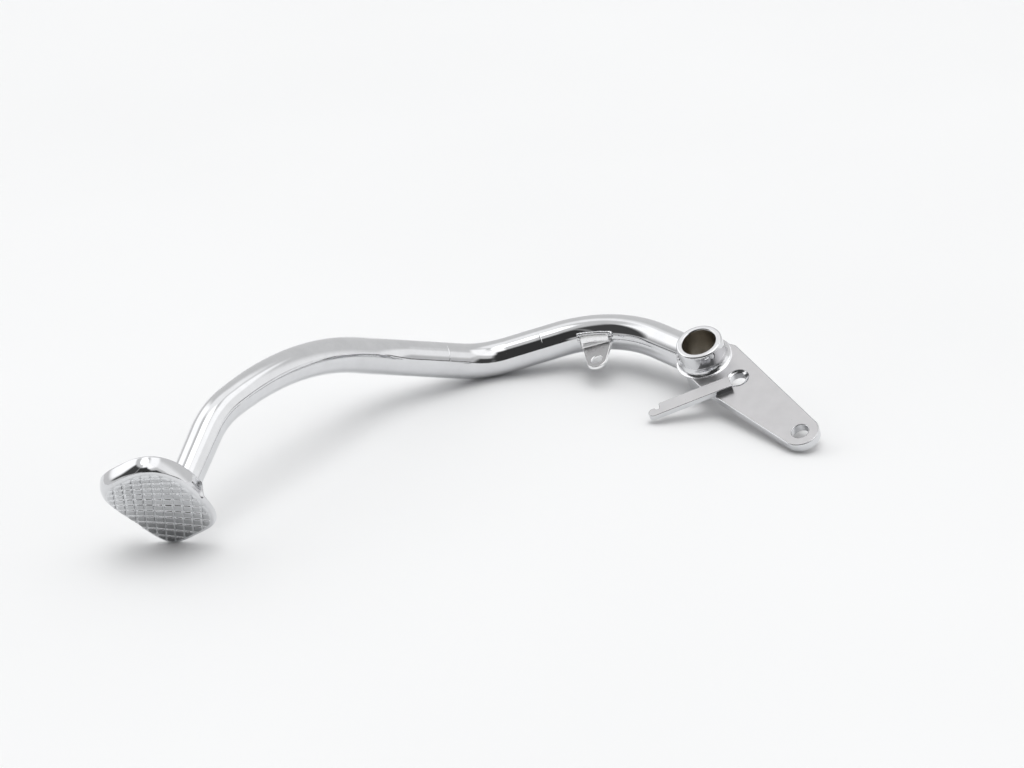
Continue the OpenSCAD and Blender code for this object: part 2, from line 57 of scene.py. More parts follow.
# Rod arm: the circles of its outline, the pin hole, and the dished hole at the hook's root
ARM_T, ARM_REACH, ARM_TIP_R, HUB_RIM, PIN_D = 4.5, 78.0, 9.2, 0.9, 8.3
FRONT_SHOULDER, FRONT_R = (12, 16), 2.0
REAR_SHOULDER, REAR_R = (-10.5, 6.5), 5.5
ROOT_HOLE, ROOT_D, DISH_D, DISH_DEPTH = (-2.3, 25), 8.0, 11.0, 1.1
DISH_LIP = ((0.35, 0.0), (0.1, 0.06), (-0.15, 0.25))  # past the dish's radius, below the top
DISH_SPREAD, DISH_FALL, UNDER_ROUND = 1.6, 0.7, 0.35
ARM_ROUND, HOOK_ROUND, TAB_ROUND = 0.45, 0.3, 0.45
# Spring hook
HOOK_T, HOOK_W, HOOK_LEN, HOOK_ROOT, HOOK_ANGLE = 3.0, 7.5, 43.5, (2.7, 26.4), -21.0
NOSE_LEN, NOSE_W, NOTCH_R, NOTCH_LIFT, NOTCH_FLAT = 6.3, 5.3, 1.1, 0.4, 0.5
HOOK_CUT, HOOK_CORNER = 0.3, 1.2
# Switch tab, its saddle on the tube, and the hollow round between them
TAB_T, TAB_REACH, TAB_ROOT_W, TAB_END_R, TAB_HOLE_D, TAB_HOLE_BACK = 1.8, 19.1, 15.5, 5.3, 5.5, 0.8
SADDLE_WRAP, TAB_PLACE, TAB_SKEW, TAB_TILT, TAB_LOW = 34.0, 35.0, 7.0, 7.0, -0.2
TAB_END_SWEEP, TAB_BEND_R, TAB_BEND_IN, TAB_BEND_LIFT = 78, 1.5, 0.2, 0.01
SADDLE_BEVEL, BEVEL_ANGLE = 0.0004, 40
# Foot pad: PAD_AT is the middle of its face, FOOT_AT where the tube's line meets it, and the
# path of the tube ends LANDING below the sheet
PAD_LEN, PAD_W, PAD_DEPTH, PAD_T, PAD_DISH = 54.0, 40.6, 8.7, 1.6, 3.4
PAD_EDGE_OUT, PAD_EDGE_IN, PAD_SQ_OUT, PAD_SQ_IN, PAD_TAPER = 3.4, 2.0, 3.0, 4.5, 0.005
FLANGE_END, FLANGE_RUNOUT, FLANGE_LOW = -7.5, 3.0, 2.3
PAD_AT, PAD_TURN, FOOT_AT = (268.1, -28.1, 106.6), (-6.96, 18.48, -36.98), (-7.5, -5.7)
LANDING = 2
# Tread: a lattice of square studs, and the field that cuts it off
TREAD_PITCH, TREAD_FROM, TREAD_TURN, TREAD_H = 4.3, (-1.3, 0.8), math.radians(38.6), 0.5
STUD_POWER, STUD_TOP, STUD_SLOPE = 8, 0.68, 0.24
FIELD_AT, FIELD_HALF = (0.6, -1.2), (18.0, 23.6)
FIELD_FULL, FIELD_FADE, FIELD_NONE = 0.9, 0.25, 1.2
# Painted shade: the tread's colour darkens toward its lowest corner, for the shadowed floor
# that it reflects, and its studs are painted darker than its grooves. The way there, where it
# starts and over how far, and the shares that its floor, every stud and the last studs lose
PAINTED_SHADE_X, PAINTED_SHADE_FROM, PAINTED_SHADE_OVER, PAINTED_SHADE_FLOOR, PAINTED_SHADE_STUD, PAINTED_SHADE_LAST = 0.75, 2, 34, 0.22, 0.08, 0.5
# Welds
FILLET_LEG, FILLET_RISE, BEAD_R = 2.8, 4.0, 1.7
TUBE_BEAD_R, PAD_BEAD_R, HOOK_BEAD_R, TAB_BEAD_R = BEAD_R * 0.95, BEAD_R * 0.9, 1.1, 0.95
BEAD_PITCH, BEAD_SIDE = 1.5, (0.31, 0.22, 0.92)
TAB_BEAD_UP, TAB_BEAD_PAST, TAB_BEAD_TOP, TAB_BEAD_LEFT, TAB_BEAD_RIGHT = 0.5, 0.012, 3, 12, 22
FILLET_WAVES = ((0.09, 2.2, 0.15), (0.015, 9, 0.6))  # height, scale round and scale across
# How fine the meshes are
TUBE_SIDES, BEND_STEP, BEAD_SIDES, EDGE_STEPS, ROUND_STEPS, FILLET_STEPS = 96, 1.2, 14, 5, 8, 14
SLEEVE_SIDES, FILLET_SIDES, ARM_STEP, OUTLINE_STEP = 160, 288, 3, 2.5
PAD_SIDES, INNER_RINGS, LIP_RINGS, ROLL_RINGS, TREAD_RINGS = 480, 8, 6, 18, 110
AREA_WEIGHT = 60

TO_ROW = Euler([math.radians(a) for a in LAY], "XYZ").to_matrix()


def V(*a):
    return Vector(a)


def to_row(p):
    """A point of the design frame, in millimetres, as it lies, in metres."""
    return TO_ROW @ Vector(p) * 0.001


def mesh_piece(name, verts, faces, mat, node, mats=None, face_mats=None):
    """A smooth mesh from design-frame millimetres, riding on the part's one body."""
    me = bpy.data.meshes.new(name)
    me.from_pydata([to_row(v) for v in verts], [], faces)
    me.validate()
    me.update()
    for m in mats or [mat]:
        me.materials.append(m)
    if face_mats:
        for p, k in zip(me.polygons, face_mats):
            p.material_index = k
    for p in me.polygons:
        p.use_smooth = True
    ob = bpy.data.objects.new(name, me)
    bpy.context.scene.collection.objects.link(ob)
    wn = ob.modifiers.new("even normals", "WEIGHTED_NORMAL")
    wn.weight = AREA_WEIGHT
    wn.keep_sharp = True
    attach(ob, "root")
    if node:
        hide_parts(*([node] if isinstance(node, str) else node))
    return ob


def band(a, b, n):
    """The faces between two closed rings of n points that start at a and b."""
    return [(a + k, a + (k + 1) % n, b + (k + 1) % n, b + k) for k in range(n)]


# The tube's path
pad_rot = Euler([math.radians(a) for a in PAD_TURN], "XYZ").to_matrix()
pad_x, pad_y, pad_z = pad_rot.col[0].copy(), pad_rot.col[1].copy(), pad_rot.col[2].copy()
landing = Vector(PAD_AT) - (PAD_T + LANDING) * pad_y + FOOT_AT[0] * pad_x + FOOT_AT[1] * pad_z
path = [Vector(c) for c in CORNERS] + [landing]
LAST = len(RADII) - 1


def heading(i):
    """The direction of the path's i-th straight."""
    return (path[i + 1] - path[i]).normalized()


def bend(i):
    """The bend at the path's i-th corner."""
    h0, h1 = heading(i - 1), heading(i)
    turn = h0.angle(h1)
    axis = h0.cross(h1).normalized()
    out = h0.cross(axis)
    leg = RADII[i] * math.tan(turn / 2)
    return {"h0": h0, "turn": turn, "axis": axis, "out": out, "r": RADII[i],
            "centre": path[i] - leg * h0 - RADII[i] * out, "end": path[i] + leg * h1}


bends = {i: bend(i) for i in range(1, LAST + 1)}


def bend_point(b, a):
    """The place of the tube's axis at an angle along a bend."""
    return b["centre"] + b["r"] * (math.cos(a) * b["out"] + math.sin(a) * b["h0"])


def bend_heading(b, a):
    """The direction of the tube at an angle along a bend."""
    return math.cos(a) * b["h0"] - math.sin(a) * b["out"]


def tube_stations():
    """The places and directions of the tube's rings."""
    st = [(path[0].copy(), heading(0))]
    for b in bends.values():
        n = max(6, int(math.degrees(b["turn"]) / BEND_STEP))
        for k in range(n + 1):
            a = b["turn"] * k / n
            st.append((bend_point(b, a), bend_heading(b, a)))
    st.append((landing.copy(), heading(LAST)))
    return st


stations = tube_stations()
SIDE = V(0.1, 1, 0)


def ring(p, d, r, n, side=SIDE):
    """n points on a circle of radius r round p, across the direction d."""
    u = d.cross(side).normalized()
    v = u.cross(d)
    angles = [2 * math.pi * k / n for k in range(n)]
    return [p + r * (math.cos(a) * u + math.sin(a) * v) for a in angles]


def smooth_step(t):
    """0 below 0, 1 above 1, and a smooth rise between."""
    t = min(1.0, max(0.0, t))
    return t * t * (3 - 2 * t)


# Small marks in the plating: the place along the tube, the lowest and highest point on its
# face as shares of the radius, and the height. FACE_OUT looks out of the marked face.
MARKS = ((154.4, -0.1, 0.9, 0.14), (137.0, -0.55, -0.25, -0.12), (98.0, 0.0, 0.65, 0.14),
         (102.6, -0.6, -0.3, -0.1), (105.4, -0.55, -0.3, -0.1))
MARK_HALF, MARK_FADE, MARK_BACK, SAME_PLACE = 0.4, 0.08, -0.1, 0.02
FACE_UP, FACE_OUT = V(-0.567, -0.457, 0.685), V(0.227, 0.713, 0.664)


def with_marks(line, run):
    """The stations of the tube and their places, with five more at each mark."""
    extra = []
    for place, *_ in MARKS:
        for k in range(-2, 3):
            at = place + MARK_HALF * k / 2
            j = max(i for i in range(len(run) - 1) if run[i] <= at)
            t = (at - run[j]) / (run[j + 1] - run[j])
            a, b = line[j], line[j + 1]
            extra.append((at, (a[0].lerp(b[0], t), a[1].lerp(b[1], t).normalized())))
    both = sorted(list(zip(run, line)) + extra, key=lambda item: item[0])
    kept = [both[0]]
    for item in both[1:]:
        if item[0] - kept[-1][0] > SAME_PLACE:
            kept.append(item)
    return [item[1] for item in kept], [item[0] for item in kept]


def mark_height(at, out):
    """How far the marks lift the skin at a place along the tube, in a direction out of it."""
    h, total = out.dot(FACE_UP), 0.0
    if out.dot(FACE_OUT) < MARK_BACK:
        return 0.0
    for place, lo, hi, lift in MARKS:
        if abs(at - place) < MARK_HALF:
            edge = smooth_step((h - lo) / MARK_FADE) * smooth_step((hi - h) / MARK_FADE)
            total += lift * edge * (1 - abs(at - place) / MARK_HALF)
    return total


def build_tube(mat):
    """The tube's outer skin, from the sleeve to the pad."""
    n = TUBE_SIDES
    run = [0.0]
    for k in range(1, len(stations)):
        run.append(run[-1] + (stations[k][0] - stations[k - 1][0]).length)
    line, run = with_marks(stations, run)
    taper_at = bends[TAPER_FROM]["end"]
    start = min(range(len(line)), key=lambda k: (line[k][0] - taper_at).length)
    total = run[-1] + TAPER_PAST - run[start]
    rings = []
    for k, (p, d) in enumerate(line):
        share = max(0.0, run[k] - run[start]) / total
        rings.append([])
        for q in ring(p, d, TUBE_R + (TIP_R - TUBE_R) * share, n):
            out = (q - p).normalized()
            rings[-1].append(q + mark_height(run[k], out) * out)
    # The first ring follows the sleeve's skin, the last one the pad's inner face
    p, d = stations[0]
    rad = SLEEVE_OD / 2 - SUNK_END
    for j, q in enumerate(rings[0]):
        off = q - p
        across = min(off.x * off.x + off.y * off.y, rad * rad - 0.01)
        rings[0][j] = q + math.sqrt(rad * rad - across) * d
    d = stations[-1][1]
    wall = Vector(PAD_AT) - (PAD_T - SUNK_SEAT) * pad_y
    rings[-1] = [q + (wall - q).dot(pad_y) / d.dot(pad_y) * d for q in rings[-1]]
    verts = [q for r in rings for q in r]
    faces = []
    for k in range(len(rings) - 1):
        faces += band(k * n, (k + 1) * n, n)
    return mesh_piece("tube_skin", verts, faces, mat, "lever_tube")


# Flat plates with rounded edges
def offset_loop(loop, d):
    """The loop moved outward by d, for a loop that runs anticlockwise."""
    n = len(loop)
    out = []
    for k in range(n):
        a, b, c = Vector(loop[k - 1]), Vector(loop[k]), Vector(loop[(k + 1) % n])
        t1, t2 = (b - a).normalized(), (c - b).normalized()
        n1, n2 = V(t1.y, -t1.x), V(t2.y, -t2.x)
        m = n1 + n2
        m = m / max(1e-6, m.length)
        out.append(b + m * (d / max(0.5, m.dot(n1))))
    return out


def plate(name, loops, z0, z1, round_r, mat, edge, node, place=None, profiles=None):
    """A plate between z0 and z1, with its edges rounded and its side faces in edge.

    loops[0] is the outer loop, the others are holes, all anticlockwise. profiles maps a loop
    to its own list of (offset, z)."""
    verts, faces = [], []
    caps = {0: [], 1: []}
    for i, loop in enumerate(loops):
        s = 1 if i == 0 else -1
        prof = (profiles or {}).get(i)
        if prof is None:
            prof = []
            for k in range(EDGE_STEPS + 1):
                a = math.pi / 2 * k / EDGE_STEPS
                prof.append((-s * round_r * (1 - math.sin(a)), z1 - round_r * (1 - math.cos(a))))
            for k in range(EDGE_STEPS + 1):
                a = math.pi / 2 * (1 - k / EDGE_STEPS)
                prof.append((-s * round_r * (1 - math.sin(a)), z0 + round_r * (1 - math.cos(a))))
        n = len(loop)
        base = len(verts)
        for off, z in prof:
            for q in offset_loop(loop, off):
                verts.append(V(q.x, q.y, z))
        for k in range(len(prof) - 1):
            for f in band(base + k * n, base + (k + 1) * n, n):
                faces.append(f if s > 0 else tuple(reversed(f)))
        caps[1].append((base, n))
        caps[0].append((base + (len(prof) - 1) * n, n))
    sides = len(faces)
    for top in (0, 1):
        idx = []
        polys = []
        for base, n in caps[top]:
            idx += list(range(base, base + n))
            polys.append([V(verts[base + k].x, verts[base + k].y, 0) for k in range(n)])
        for tri in tessellate_polygon(polys):
            a, b, c = [idx[t] for t in tri]
            area = (verts[b] - verts[a]).cross(verts[c] - verts[a]).z
            if abs(area) < 1e-9:
                continue
            if (area > 0) != (top == 1):
                b, c = c, b
            faces.append((a, b, c))
    if place:
        verts = [place(v) for v in verts]
    marks = [1] * sides + [0] * (len(faces) - sides)
    return mesh_piece(name, verts, faces, mat, node, mats=[mat, edge], face_mats=marks)


def hull2d(points):
    """The convex hull of flat points, anticlockwise."""
    pts = sorted(set((round(p[0], 6), round(p[1], 6)) for p in points))

    def cross(o, a, b):
        return (a[0] - o[0]) * (b[1] - o[1]) - (a[1] - o[1]) * (b[0] - o[0])
    lower, upper = [], []
    for p in pts:
        while len(lower) > 1 and cross(lower[-2], lower[-1], p) <= 1e-9:
            lower.pop()
        lower.append(p)
    for p in reversed(pts):
        while len(upper) > 1 and cross(upper[-2], upper[-1], p) <= 1e-9:
            upper.pop()
        upper.append(p)
    return [V(x, y) for x, y in lower[:-1] + upper[:-1]]


def resample(loop, step):
    """The loop with its long sides split into even steps."""
    out = []
    n = len(loop)
    for k in range(n):
        a, b = Vector(loop[k]), Vector(loop[(k + 1) % n])
        m = max(1, int((b - a).length / step))
        out += [a + (b - a) * j / m for j in range(m)]
    return out


def circle(c, r, n):
    angles = [2 * math.pi * k / n for k in range(n)]
    return [V(c[0] + r * math.cos(a), c[1] + r * math.sin(a)) for a in angles]


def arc(c, r, a0, a1, n):
    angles = [math.radians(a0 + (a1 - a0) * k / n) for k in range(n + 1)]
    return [V(c[0] + r * math.cos(a), c[1] + r * math.sin(a)) for a in angles]


def build_arm(mat, edge):
    """The rod arm's plate, with the sleeve's seat, the pin hole and the dished hole."""
    pts = []
    for c, r in (((0, 0), SLEEVE_OD / 2 + HUB_RIM), (FRONT_SHOULDER, FRONT_R),
                 ((0, ARM_REACH), ARM_TIP_R), (REAR_SHOULDER, REAR_R)):
        pts += circle(c, r, 160)
    outer = resample(hull2d(pts), ARM_STEP)
    bore = circle((0, 0), SLEEVE_OD / 2 - SUNK_SEAT, 72)
    pin = circle((0, ARM_REACH), PIN_D / 2, 64)
    root = circle(ROOT_HOLE, ROOT_D / 2, 72)
    top, b = ARM_T / 2, UNDER_ROUND
    dish = (DISH_D - ROOT_D) / 2
    prof = [(dish + past, top - below) for past, below in DISH_LIP]
    lip = DISH_LIP[-1][1]
    for k in range(1, 7):
        t = k / 6
        below = lip + (DISH_DEPTH - lip) * t ** DISH_FALL
        prof.append((dish * (1 - t) ** DISH_SPREAD, top - below))
    prof += [(0, -top + b), (0.1, -top + 0.12), (b, -top)]
    return plate("arm_plate", [outer, bore, pin, root], -top, top, ARM_ROUND, mat, edge, "rod_arm",
                 profiles={3: prof})


def hook_outline():
    """The bar's outline, from its root along X to the notch and the nose."""
    nose_y = HOOK_W / 2 - NOSE_W
    shoulder = HOOK_LEN - NOSE_LEN
    h = HOOK_W / 2
    loop = [V(0, -h + HOOK_CUT), V(HOOK_CUT, -h)]
    loop += arc((shoulder - HOOK_CORNER, -h + HOOK_CORNER), HOOK_CORNER, -90, 0, 6)
    loop += [V(shoulder, nose_y + NOTCH_R * NOTCH_LIFT)]
    loop += arc((shoulder + NOTCH_R, nose_y + NOTCH_R * NOTCH_LIFT), NOTCH_R, 180, 20, 10)
    loop += [V(shoulder + 2 * NOTCH_R + NOTCH_FLAT, nose_y)]
    loop += arc((HOOK_LEN - NOSE_W / 2, nose_y + NOSE_W / 2), NOSE_W / 2, -90, 90, 16)
    loop += [V(HOOK_CUT, h), V(0, h - HOOK_CUT)]
    return loop


def build_hook(mat, edge):
    """The spring hook's flat bar, on top of the plate."""
    loop = resample(hook_outline(), OUTLINE_STEP)
    return plate("hook_bar", [loop], 0.0, HOOK_T + GAP, HOOK_ROUND, mat, edge, "spring_hook",
                 place=on_hook)


def on_hook(v):
    """A point of the bar's frame."""
    a = math.radians(HOOK_ANGLE)
    return V(HOOK_ROOT[0] + v.x * math.cos(a) - v.y * math.sin(a),
             HOOK_ROOT[1] + v.x * math.sin(a) + v.y * math.cos(a), ARM_T / 2 + v.z)


def lathe(name, prof, n, mat, node, mats=None, wobble=None, pick=None):
    """A closed profile of (r, z), turned round Z.

    wobble moves its points, and pick gives the material of a face from its ends in prof."""
    verts, faces, fm = [], [], []
    m = len(prof)
    for k in range(n):
        a = 2 * math.pi * k / n
        for j, (r, z) in enumerate(prof):
            if wobble:
                r, z = wobble(a, j, r, z)
            verts.append(V(r * math.cos(a), r * math.sin(a), z))
    for k in range(n):
        here, there = k * m, (k + 1) % n * m
        for j in range(m):
            after = (j + 1) % m
            faces.append((here + j, there + j, there + after, here + after))
            if pick:
                fm.append(pick(prof[j], prof[after]))
    return mesh_piece(name, verts, faces, mat, node, mats=mats, face_mats=fm or None)


def build_sleeve(skin, bore):
    """The pivot sleeve, plated outside and bare inside."""
    R, r, h, c, e = SLEEVE_OD / 2, BORE_D / 2, SLEEVE_LEN / 2, BORE_CHAMFER, SLEEVE_EDGE
    straight = (-h + 4, 0, h - 4)
    corner = [math.pi / 2 * k / ROUND_STEPS for k in range(ROUND_STEPS + 1)]
    prof = [(R - e + e * math.sin(a), -h + e - e * math.cos(a)) for a in corner]
    prof += [(R, z) for z in straight]
    prof += [(R - e + e * math.cos(a), h - e + e * math.sin(a)) for a in corner]
    mouth = [(r + c + 0.15, h), (r + c - 0.02, h - 0.05), (r + 0.06, h - c + 0.04),
             (r, h - c - 0.12)]
    prof += mouth + [(r, z) for z in reversed(straight)] + [(q, -z) for q, z in reversed(mouth)]

    def pick(a, b):
        return 1 if max(a[0], b[0]) < r + c * 0.6 else 0
    return lathe("sleeve_body", prof, SLEEVE_SIDES, skin, "pivot_sleeve", mats=[skin, bore],
                 pick=pick)


# Welds
def build_sleeve_weld(mat):
    """The fillet between the sleeve and the plate."""
    R, z0 = SLEEVE_OD / 2, ARM_T / 2
    prof = [(R + FILLET_LEG, z0 - SUNK_SEAT)]
    for k in range(FILLET_STEPS + 1):
        a = math.pi / 2 * k / FILLET_STEPS
        prof.append((R + FILLET_LEG * (1 - math.sin(a)), z0 + FILLET_RISE * (1 - math.cos(a))))
    prof += [(R - SUNK_FILLET, z0 + FILLET_RISE), (R - SUNK_FILLET, z0 - SUNK_SEAT)]

    def wobble(a, j, r, z):
        if j < 1 or j > FILLET_STEPS:
            return r, z
        w = 0.0
        for height, round_scale, across in FILLET_WAVES:
            at = V(round_scale * math.cos(a), round_scale * math.sin(a), across * j)
            w += height * noise.noise(at)
        return r + w, z + w * 0.6
    return lathe("sleeve_fillet", prof, FILLET_SIDES, mat, "sleeve_weld", wobble=wobble)


def bead_mesh(name, loop, r, mat, node, closed=True, ripple=0.12):
    """A weld bead of radius r along a line, with an uneven skin and, if open, thin ends."""
    verts, faces = [], []
    m, n = len(loop), BEAD_SIDES
    s = 0.0
    for k in range(m):
        p = loop[k]
        if closed:
            d = (loop[(k + 1) % m] - loop[k - 1]).normalized()
        else:
            d = (loop[min(k + 1, m - 1)] - loop[max(k - 1, 0)]).normalized()
        s += (loop[k] - loop[k - 1]).length if k else 0
        even = 0.5 * math.sin(2 * math.pi * s / BEAD_PITCH)
        rr = r * (1 + ripple * even + ripple * noise.noise(p * 0.5))
        if not closed and (k == 0 or k == m - 1):
            rr *= 0.25
        elif not closed and (k == 1 or k == m - 2):
            rr *= 0.75
        verts += ring(p, d, rr, n, Vector(BEAD_SIDE))
    for k in range(m if closed else m - 1):
        faces += band(k * n, ((k + 1) % m) * n, n)
    if not closed:
        faces.append(tuple(range(n))[::-1])
        faces.append(tuple((m - 1) * n + j for j in range(n)))
    return mesh_piece(name, verts, faces, mat, node)


def build_tube_weld(mat):
    """The bead where the tube meets the sleeve."""
    h, side = heading(0), heading(0).cross(V(0, 0, 1))
    R = SLEEVE_OD / 2
    loop = []
    for k in range(180):
        a = 2 * math.pi * k / 180
        off = TUBE_R * math.cos(a)
        loop.append(math.sqrt(R * R - off * off) * h + off * side + V(0, 0, TUBE_R * math.sin(a)))
    return bead_mesh("tube_bead", loop, TUBE_BEAD_R, mat, "tube_weld")


def build_pad_weld(mat):
    """The bead round the oval where the tube meets the pad's inner face."""
    h = heading(LAST)
    lean = V(h.dot(pad_x), h.dot(pad_y), h.dot(pad_z))
    mid = V(FOOT_AT[0], -PAD_T - LANDING, FOOT_AT[1]) + LANDING / lean.y * lean
    u = V(lean.x, 0, lean.z).normalized()
    v = u.cross(V(0, 1, 0))
    r, drop = TIP_R + 0.35, 0.5
    loop = []
    for k in range(150):
        a = 2 * math.pi * k / 150
        q = mid + r / lean.y * math.cos(a) * u + r * math.sin(a) * v
        loop.append(Vector(PAD_AT) + q.x * pad_x + (q.y - drop) * pad_y + q.z * pad_z)
    return bead_mesh("pad_bead", loop, PAD_BEAD_R, mat, "pad_weld")


def build_hook_weld(mat):
    """The short bead along the bar's root."""
    first, step, count, off = 1.5, 0.25, 29, 0.1
    loop = [on_hook(V(first + step * k, -HOOK_W / 2 - off, off)) for k in range(count)]
    return bead_mesh("hook_bead", loop, HOOK_BEAD_R, mat, "hook_weld", closed=False)


# Switch tab
def in_tab(q):
    """A point of the tab's frame: X outward from the bend's centre, Y along the tube, Z up."""
    b = bends[1]
    pl = math.radians(TAB_PLACE)
    x = math.cos(pl) * b["out"] + math.sin(pl) * b["h0"]
    return b["centre"] + q.x * x + q.y * b["axis"].cross(x) + q.z * b["axis"]


def on_leaf(v):
    """A point of the leaf, with X away from the tube, tilted and skewed as it is welded."""
    t, k = math.radians(TAB_TILT), math.radians(180 + TAB_SKEW)
    y, z = v.y * math.cos(t) - v.z * math.sin(t), v.y * math.sin(t) + v.z * math.cos(t)
    return in_tab(V(RADII[1] + v.x * math.cos(k) - y * math.sin(k),
                    v.x * math.sin(k) + y * math.cos(k), z))


def at_saddle(t, rad, a):
    """A point at an angle round the tube and an angle along the bend."""
    r = RADII[1] - rad * math.cos(a)
    return in_tab(V(r * math.cos(t), r * math.sin(t), rad * math.sin(a)))


# The saddle's outer radius, how far the tilt drops the leaf's side, and the saddle's angle
# along the bend
SADDLE_R = TUBE_R + GAP + TAB_T
TAB_DROP = TAB_ROOT_W / 2 * math.sin(math.radians(TAB_TILT))
TAB_SPAN = 2 * math.asin(TAB_ROOT_W / 2 / (RADII[1] - TUBE_R))


def build_tab(mat, edge):
    """The tab's leaf with its hole, and the saddle that it is bent from."""
    half = TAB_ROOT_W / 2
    root = math.sqrt(SADDLE_R ** 2 - (TAB_LOW + TAB_T + TAB_DROP) ** 2) - SUNK_END
    end = SADDLE_R + TAB_REACH - TAB_END_R
    loop = [V(root, -half), V(SADDLE_R + 1, -half)]
    loop += arc((end, 0), TAB_END_R, -TAB_END_SWEEP, TAB_END_SWEEP, 24)
    loop += [V(SADDLE_R + 1, half), V(root, half)]
    hole = circle((end - TAB_HOLE_BACK, 0), TAB_HOLE_D / 2, 48)
    plate("tab_leaf", [resample(loop, OUTLINE_STEP), hole], TAB_LOW, TAB_LOW + TAB_T, TAB_ROUND,
          mat, edge, "switch_tab", place=on_leaf)
    lo = math.asin((TAB_LOW - TAB_DROP) / TUBE_R)
    hi = math.radians(SADDLE_WRAP)
    around, steps = 12, 16
    prof = [(SADDLE_R, lo + (hi - lo) * k / around) for k in range(around + 1)]
    prof += [(TUBE_R + GAP, hi - (hi - lo) * k / around) for k in range(around + 1)]
    m = len(prof)
    verts = [at_saddle(TAB_SPAN * (k / steps - 0.5), r, a)
             for k in range(steps + 1) for r, a in prof]
    faces = []
    for k in range(steps):
        faces += band(k * m, (k + 1) * m, m)
    faces.append(tuple(range(m)))
    faces.append(tuple(steps * m + j for j in range(m))[::-1])
    saddle = mesh_piece("tab_saddle", verts, faces, edge, None)
    bev = saddle.modifiers.new("edge", "BEVEL")
    bev.width = SADDLE_BEVEL
    bev.segments = 3
    bev.limit_method = "ANGLE"
    bev.angle_limit = math.radians(BEVEL_ANGLE)


def build_tab_bend(mat):
    """The sheet's inner bend, a hollow round between the saddle and the leaf."""
    steps, n, r = 24, 9, TAB_BEND_R
    verts, faces = [], []
    for k in range(steps + 1):
        y = (TAB_ROOT_W / 2 - TAB_BEND_IN) * (2 * k / steps - 1)
        lift = y * math.sin(math.radians(TAB_TILT))
        top = TAB_LOW + TAB_T + lift
        x0 = math.sqrt((SADDLE_R + r) ** 2 - (top + r) ** 2)
        a1 = math.pi + math.atan2(top + r, x0)
        for j in range(n):
            a = 1.5 * math.pi + (a1 - 1.5 * math.pi) * j / (n - 1)
            z = top - lift + r * (1 + math.sin(a)) + TAB_BEND_LIFT
            verts.append(on_leaf(V(x0 + r * math.cos(a), y, z)))
    for k in range(steps):
        for j in range(n - 1):
            a = k * n + j
            faces.append((a, a + 1, a + n + 1, a + n))
    return mesh_piece("tab_bend", verts, faces, mat, None)


def build_tab_weld(mat):
    """The bead round the saddle's upper side and down its two ends."""
    mid, edge = TUBE_R + TAB_BEAD_UP, TAB_SPAN / 2 + TAB_BEAD_PAST
    hi = math.radians(SADDLE_WRAP + TAB_BEAD_TOP)
    low_left, low_right = math.radians(TAB_BEAD_LEFT), math.radians(TAB_BEAD_RIGHT)
    loop = [at_saddle(-edge, mid, low_right + (hi - low_right) * k / 11) for k in range(12)]
    loop += [at_saddle(-edge + 2 * edge * k / 28, mid + 0.3, hi) for k in range(1, 28)]
    loop += [at_saddle(edge, mid, hi - (hi - low_left) * k / 13) for k in range(14)]
    return bead_mesh("tab_bead", loop, TAB_BEAD_R, mat, "tab_weld", closed=False, ripple=0.2)


# Foot pad
def squareness(z):
    """The outline's power, which differs between the two ends."""
    return PAD_SQ_IN if z < 0 else PAD_SQ_OUT


def narrowed(z):
    """The share of the width that the slight taper leaves."""
    return 1 - PAD_TAPER * (math.sqrt(z * z + 16) - z) / 2


def outline_point(a, inset):
    """A point of the pad's outline, moved in by inset."""
    c, s = math.cos(a), math.sin(a)
    p = 2 / squareness(s)
    z = (PAD_LEN / 2 - inset) * math.copysign(abs(s) ** p, s)
    return (narrowed(z) * PAD_W / 2 - inset) * math.copysign(abs(c) ** p, c), z


def edge_r(a):
    """The radius of the rolled edge at an angle round the pad."""
    return PAD_EDGE_IN + (PAD_EDGE_OUT - PAD_EDGE_IN) * max(0.0, math.sin(a))


def even_angles(n):
    """Parameters of the outline at even steps along it."""
    m = 4000
    pts = [outline_point(2 * math.pi * k / m, 0) for k in range(m + 1)]
    d = [0.0]
    for k in range(m):
        d.append(d[-1] + math.dist(pts[k], pts[k + 1]))
    out, j = [], 0
    for k in range(n):
        t = d[-1] * k / n
        while d[j + 1] < t:
            j += 1
        out.append(2 * math.pi * (j + (t - d[j]) / max(1e-9, d[j + 1] - d[j])) / m)
    return out


def rise(z):
    """How far the face curves up along the pad."""
    return PAD_DISH * (2 * z / PAD_LEN) ** 2


def flange_depth(z, a):
    """How deep the flange reaches, which runs out toward the inboard end."""
    f = smooth_step((z - FLANGE_END) / FLANGE_RUNOUT + 1)
    return max(FLANGE_LOW + (PAD_DEPTH - FLANGE_LOW) * f, edge_r(a) + 0.2)


def stud_height(x, z):
    """Height of the tread above the face: low square studs, cut off where the tread ends."""
    n = squareness(z)
    field = abs((x - FIELD_AT[0]) / FIELD_HALF[0] / narrowed(z)) ** n
    field += abs((z - FIELD_AT[1]) / FIELD_HALF[1]) ** n
    if field > FIELD_NONE:
        return 0.0
    dx, dz = (x - TREAD_FROM[0]) / TREAD_PITCH, (z - TREAD_FROM[1]) / TREAD_PITCH
    a = dx * math.cos(TREAD_TURN) + dz * math.sin(TREAD_TURN) + 0.5
    b = dz * math.cos(TREAD_TURN) - dx * math.sin(TREAD_TURN) + 0.5
    fa, fb = abs(a - math.floor(a) - 0.5) * 2, abs(b - math.floor(b) - 0.5) * 2
    e = (fa ** STUD_POWER + fb ** STUD_POWER) ** (1 / STUD_POWER)
    stud = 1 - smooth_step((e - STUD_TOP) / STUD_SLOPE)
    return TREAD_H * stud * (1 - smooth_step((field - FIELD_FULL) / FIELD_FADE))


